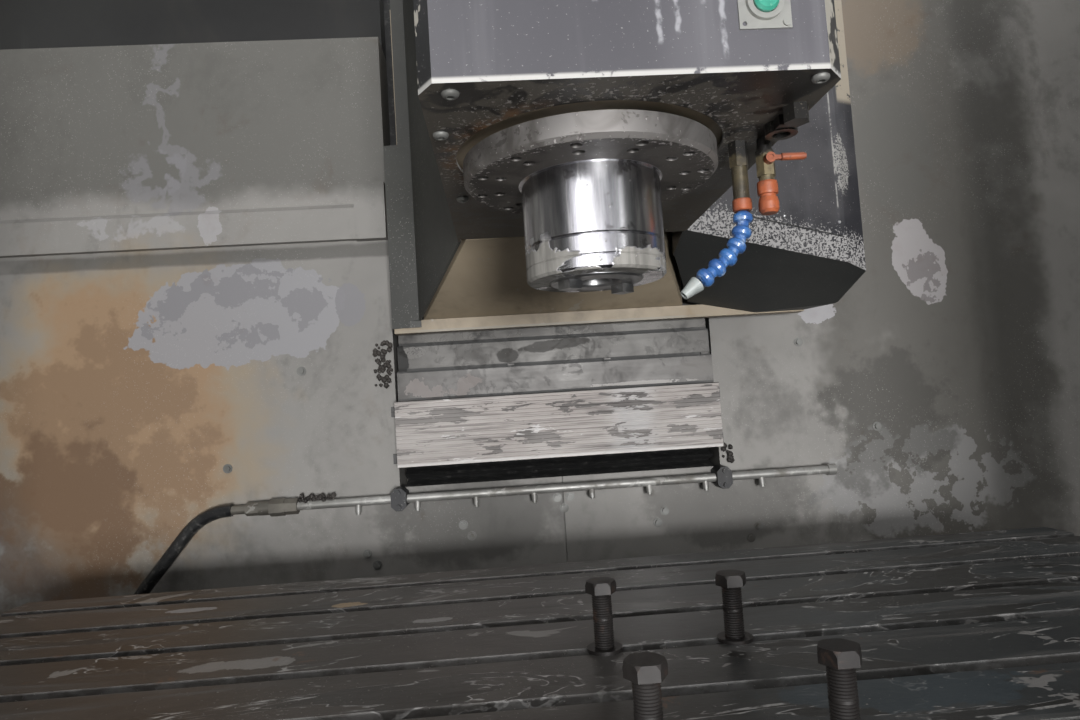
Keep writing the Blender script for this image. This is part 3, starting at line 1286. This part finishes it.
@dataclass
class Covers(Dresser):
    """Pins and crust of the telescopic cover, and the seals beside the column."""

    pins: tuple[float, ...] = (-199.0, 76.0, 235.0)
    seal_x: tuple[float, float] = (262.0, 292.0)
    seal_y: tuple[float, float] = (694.0, 699.5)
    seal_z: tuple[float, float] = (96.0, 1108.0)

    def crust(self, name: str, spots: np.ndarray, sizes: np.ndarray, body: str) -> bpy.types.Object:
        """Lumps of chips and grease.

        Each lump is a ball of 5 x 6 points whose radius swings with the angles:
        r = size (1 + 0.25 sin(3a + k) cos(2b + k)), squashed to four fifths in depth.

        Args:
            name: the piece's name.
            spots: centres in machine millimetres.
            sizes: radii in millimetres.
            body: the body that carries them.

        Returns:
            One piece with all the lumps.
        """
        polar = np.linspace(0.12, math.pi - 0.12, 5)
        turn = np.linspace(0, 2 * math.pi, 6, endpoint=False)
        a, b = np.meshgrid(polar, turn, indexing="ij")
        lumps = []
        for k, (spot, size) in enumerate(zip(spots, sizes)):
            r = size * (1 + 0.25 * np.sin(3 * a + k) * np.cos(2 * b + k * 1.7))
            ball = np.stack([r * np.sin(a) * np.cos(b), 0.8 * r * np.sin(a) * np.sin(b), r * np.cos(a)],
                            axis=-1)
            lumps.append(closed_mesh(f"{name}_{k}", place(spot + ball), False, True))
        piece = join(name, lumps)
        smooth(piece, 60.0)
        return self.fit(piece, body, "crust", "hose_rubber")

    def build(self) -> None:
        """Make pins, crust and seals."""
        self.screws("strip_pins", [(x, 585.2, 347.0) for x in self.pins], (0, -1, 0), 3.4, "cover_plate_1",
                    "strip_steel", "worn_steel")
        rng = np.random.default_rng(7)
        left = ((-316, -288), (592, 598), (268, 346)), 46
        coupling = ((-452, -392), (570, 586), (80, 88)), 26
        right = ((288, 306), (592, 598), (96, 128)), 18
        spots = np.concatenate([np.stack([rng.uniform(*span, count) for span in spans], axis=1)
                                for spans, count in (left, coupling, right)])
        self.crust("crusted_chips", spots, rng.uniform(2.2, 5.2, len(spots)), "frame")
        mid_y, depth = sum(self.seal_y) / 2, self.seal_y[1] - self.seal_y[0]
        mid_x, width = sum(self.seal_x) / 2, self.seal_x[1] - self.seal_x[0]
        tall = self.seal_z[1] - self.seal_z[0]
        steps = ((1.0, 0.0), (0.0, 1.0), (0.0, tall - 1.0), (1.0, tall))
        seals = [pressed(f"seal_{side}", rounded(depth, width, 2.0), (side * mid_x, mid_y, self.seal_z[0]),
                         (0, 0, 1), steps) for side in (-1, 1)]
        piece = join("column_side_seals", seals)
        smooth(piece)
        self.fit(piece, "frame", "gasket_rubber", "hose_rubber")


@dataclass
class Bellows(Dresser):
    """The black pleated sheet behind the cover plates, which folds as the head moves."""

    low: float = 90.0
    high: float = 370.0
    back: float = 605.0
    half: float = 275.0
    pleats: int = 14
    depth: float = 34.0
    cloth: float = 2.5

    def build(self) -> None:
        """Press the pleats and let them fold between frame and head.

        The sheet is one surface over width u and height v: depth = back + d (1 - cos(2 pi n v)) / 2,
        with rounded folds; its second side lies one cloth thickness behind.
        """
        v = np.linspace(0.0, 1.0, self.pleats * 8 + 1)
        fold = self.back + self.depth * (1 - np.cos(2 * math.pi * self.pleats * v)) / 2
        height = self.low + (self.high - self.low) * v
        section = np.concatenate([np.stack([fold, height], axis=1),
                                  np.stack([fold + self.cloth, height], axis=1)[::-1]])
        sides = np.array([-self.half, -self.half / 3, self.half / 3, self.half])
        points = np.stack([np.concatenate([np.full((len(section), 1), x), section], axis=1) for x in sides])
        piece = closed_mesh("way_bellows", place(points), False, True)
        smooth(piece, 50.0)
        self.finishes.dress(piece, "bellows_cloth")
        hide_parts("z_bellows")
        at(0, self.back, self.low)
        at(0, self.back, self.high)
        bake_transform(piece)


@dataclass
class Bolts(Dresser):
    """Threads of the four hex bolts in the table's slots."""

    spots: tuple[tuple[float, float, float], ...] = (
        (-20, -37.5, 60), (96, -37.5, 58), (-20, -237.5, 60), (100, -237.5, 59))
    radius: float = 8.0
    pitch: float = 2.0
    depth: float = 0.7

    def thread(self, name: str, spot: Sequence[float]) -> bpy.types.Object:
        """A thread as one turned form: radius = r + depth |saw(h / pitch)| up the shank.

        Args:
            name: the piece's name.
            spot: x, y and the head's top in machine millimetres.

        Returns:
            The closed sleeve.
        """
        low, high = 3.4, spot[2] - 11.0
        steps = int((high - low) / self.pitch) * 2
        h = np.linspace(low, high, steps + 1)
        r = self.radius + 0.1 + self.depth * (np.arange(steps + 1) % 2)
        outer = np.stack([r, h], axis=1)
        return turned(name, outer.tolist(), (spot[0], spot[1], 0.0), (0, 0, 1), 20)

    def build(self) -> None:
        """Cut the threads on all bolts."""
        piece = join("bolt_threads", [self.thread(f"thread_{i}", spot) for i, spot in enumerate(self.spots)])
        smooth(piece, 20.0)
        self.fit(piece, "table", "bolt_steel", "bolt_steel")


@dataclass
class Doors(Dresser):
    """Rubber frames round the door windows."""

    half_in: float = 1240.0
    opening: float = 560.0
    base_z: float = -110.0
    top_z: float = 1090.0
    face_y: float = -642.0

    def frame(self, name: str, side: int) -> bpy.types.Object:
        """A rounded rubber profile carried round the window's opening.

        Args:
            name: the piece's name.
            side: -1 for the left door, 1 for the right.

        Returns:
            The closed loop.
        """
        width = self.half_in - self.opening - 94.0
        x1 = -self.opening - 6.0
        x0 = x1 - width
        tall = self.top_z - self.base_z
        low = np.array([x0 + width * 0.19, self.base_z + tall * 0.36])
        high = np.array([x1 - width * 0.15, self.top_z - tall * 0.14])
        centre, size = (low + high) / 2, high - low
        loop = rounded(size[0], size[1], 10.0, 8)
        path = np.stack([(centre[0] + loop[:, 0]) * (1.0 if side < 0 else -1.0),
                         np.full(len(loop), self.face_y - 1.0), centre[1] + loop[:, 1]], axis=1)
        return carried(name, rounded(14.0, 5.0, 2.2, 4), path, True)

    def build(self) -> None:
        """Frame both windows."""
        for name, side in (("left", -1), ("right", 1)):
            piece = self.frame(f"window_gasket_{name}", side)
            self.fit(piece, f"door_{name}", "gasket_rubber", "hose_rubber")


@dataclass
class Pendant(Dresser):
    """Screen, soft keys and key film of the control pendant."""

    x0: float = 860.0
    x1: float = 1200.0
    front: float = -820.0
    screen_z: tuple[float, float] = (580.0, 810.0)
    keys_z: tuple[float, float] = (390.0, 550.0)

    def panel(self, name: str, z0: float, z1: float, y: float, depth: float, finish: str, slot: str,
              margin: float) -> None:
        """A pressed panel with soft edges, set into its recess.

        Args:
            name: the piece's name.
            z0: lower edge.
            z1: upper edge.
            y: depth of its back.
            depth: its thickness.
            finish: the finish's name.
            slot: the record's material slot.
            margin: gap to the recess all round.
        """
        width, tall = self.x1 - self.x0 - 2 * margin, z1 - z0 - 2 * margin
        middle = ((self.x0 + self.x1) / 2, y, (z0 + z1) / 2)
        steps = ((0.0, 0.0), (0.0, depth - 0.8), (0.8, depth))
        piece = pressed(name, rounded(width, tall, 6.0), middle, (0, -1, 0), steps)
        self.fit(piece, "control_pendant", finish, slot)

    def build(self) -> None:
        """Make the screen, the key film and its domes."""
        self.panel("pendant_screen", *self.screen_z, self.front + 6.0, 3.0, "screen_black",
                   "hose_rubber", 6.0)
        self.panel("pendant_key_film", *self.keys_z, self.front + 2.0, 1.0, "key_film", "motor_grey", 3.0)
        profile = ((0.0, 0.0), (0.4, 0.5), (1.4, 0.8), (3.0, 0.9))
        columns = np.linspace(self.x0 + 24, self.x1 - 24, 10)
        rows = np.linspace(self.keys_z[0] + 22, self.keys_z[1] - 22, 5)
        domes = [pressed(f"key_{i}_{k}", rounded(24.0, 18.0, 4.0, 4), (x, self.front + 1.0, z),
                         (0, -1, 0), profile)
                 for i, x in enumerate(columns) for k, z in enumerate(rows)]
        piece = join("pendant_key_domes", domes)
        smooth(piece)
        self.fit(piece, "control_pendant", "key_dome", "plate_grey")


@dataclass
class Stage:
    """Floor, lamps, world and camera."""

    eye: tuple[float, float, float] = (-95.8, -679.1, 215.7)
    yaw: float = 3.11
    pitch: float = 3.68
    roll: float = -3.57
    focal_px: float = 720.0
    frame_px: float = 1080.0

    def camera(self) -> None:
        """Stand the camera in the doorway, where the photograph was taken."""
        yaw, pitch, roll = (math.radians(v) for v in (self.yaw, self.pitch, self.roll))
        ahead = np.array([math.sin(yaw) * math.cos(pitch), math.cos(yaw) * math.cos(pitch), math.sin(pitch)])
        right = np.array([math.cos(yaw), -math.sin(yaw), 0.0])
        up = np.cross(right, ahead)
        x = math.cos(roll) * right + math.sin(roll) * up
        y = -math.sin(roll) * right + math.cos(roll) * up
        data = bpy.data.cameras.new("view")
        data.sensor_width = 36.0
        data.lens = self.focal_px / self.frame_px * 36.0
        data.clip_start = 0.02
        data.clip_end = 60.0
        camera = bpy.data.objects.new("view", data)
        bpy.context.scene.collection.objects.link(camera)
        matrix = np.eye(4)
        matrix[:3, 0], matrix[:3, 1], matrix[:3, 2], matrix[:3, 3] = x, y, -ahead, at(*self.eye)
        camera.matrix_world = Matrix(matrix.tolist())
        bpy.context.scene.camera = camera

    def lamp(self, name: str, spot: Sequence[float], aim: Sequence[float], size: float, power: float) -> None:
        """A square soft lamp.

        Args:
            name: the lamp's name.
            spot: where it hangs, in the frame's metres.
            aim: the point that it faces.
            size: side of the square.
            power: watts.
        """
        data = bpy.data.lights.new(name, "AREA")
        data.shape = "SQUARE"
        data.size = size
        data.energy = power
        lamp = bpy.data.objects.new(name, data)
        bpy.context.scene.collection.objects.link(lamp)
        u, v, w = basis(np.asarray(spot, float) - np.asarray(aim, float))
        matrix = np.eye(4)
        matrix[:3, 0], matrix[:3, 1], matrix[:3, 2], matrix[:3, 3] = u, v, w, spot
        lamp.matrix_world = Matrix(matrix.tolist())

    def light(self) -> None:
        """Hang soft lamps over the open top and before the doorway, in a pale room."""
        self.lamp("overhead", (0.0, -0.9, 4.4), (0.0, -0.4, 1.0), 2.6, 45.0)
        self.lamp("doorway_key", (0.30, -3.3, 1.00), (0.0, 0.4, 1.05), 0.5, 108.0)
        self.lamp("front_fill", (-1.6, -4.0, 2.6), (0.0, -0.1, 1.2), 2.4, 60.0)
        self.lamp("side_fill", (3.8, -2.8, 2.6), (0.0, 0.0, 1.0), 2.6, 110.0)
        self.lamp("rear_fill", (-3.2, 3.6, 3.0), (0.0, 0.4, 1.2), 2.8, 120.0)
        world = bpy.data.worlds.new("room")
        world.use_nodes = True
        tree = world.node_tree
        tree.nodes.clear()
        output = tree.nodes.new("ShaderNodeOutputWorld")
        path = tree.nodes.new("ShaderNodeLightPath")
        seen = tree.nodes.new("ShaderNodeMath")
        seen.operation = "MAXIMUM"
        tree.links.new(path.outputs["Is Camera Ray"], seen.inputs[0])
        tree.links.new(path.outputs["Is Transmission Ray"], seen.inputs[1])
        soft, pale, mix = (tree.nodes.new(kind) for kind in
                           ("ShaderNodeBackground", "ShaderNodeBackground", "ShaderNodeMixShader"))
        soft.inputs["Color"].default_value = (0.95, 0.97, 1.0, 1.0)
        soft.inputs["Strength"].default_value = 0.25
        pale.inputs["Color"].default_value = (0.84, 0.85, 0.86, 1.0)
        pale.inputs["Strength"].default_value = 1.0
        tree.links.new(seen.outputs[0], mix.inputs[0])
        tree.links.new(soft.outputs[0], mix.inputs[1])
        tree.links.new(pale.outputs[0], mix.inputs[2])
        tree.links.new(mix.outputs[0], output.inputs["Surface"])
        bpy.context.scene.world = world

    def floor(self) -> None:
        """Lay a plain pale floor under the machine."""
        mesh = bpy.data.meshes.new("studio_floor")
        mesh.from_pydata([(-9, -9, 0), (9, -9, 0), (9, 9, 0), (-9, 9, 0)], [], [(0, 1, 2, 3)])
        floor = bpy.data.objects.new("studio_floor", mesh)
        bpy.context.scene.collection.objects.link(floor)
        g = Graph("studio_floor")
        grain = g.noise(2.0, detail=3.0)
        floor.data.materials.append(g.finish(g.mix(grain, (0.62, 0.62, 0.61), (0.66, 0.66, 0.65)), 0.7))

    def build(self) -> None:
        """Set up camera, lamps and floor."""
        bpy.context.scene.view_settings.view_transform = "Standard"
        self.camera()
        self.light()
        self.floor()


def main() -> None:
    """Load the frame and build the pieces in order."""
    logging.basicConfig(level=logging.INFO, format="%(name)s: %(message)s")
    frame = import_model()
    Stage().build()
    finishes = Finishes()
    finishes.build()
    for finish, names in CAD_FINISH.items():
        for name in names:
            finishes.dress(frame["nodes"][name], finish)
    FlushLine(finishes).build()
    for part in (Head, Covers, Bellows, Bolts, Doors, Pendant):
        part(finishes).build()


if __name__ == "__main__":
    main()
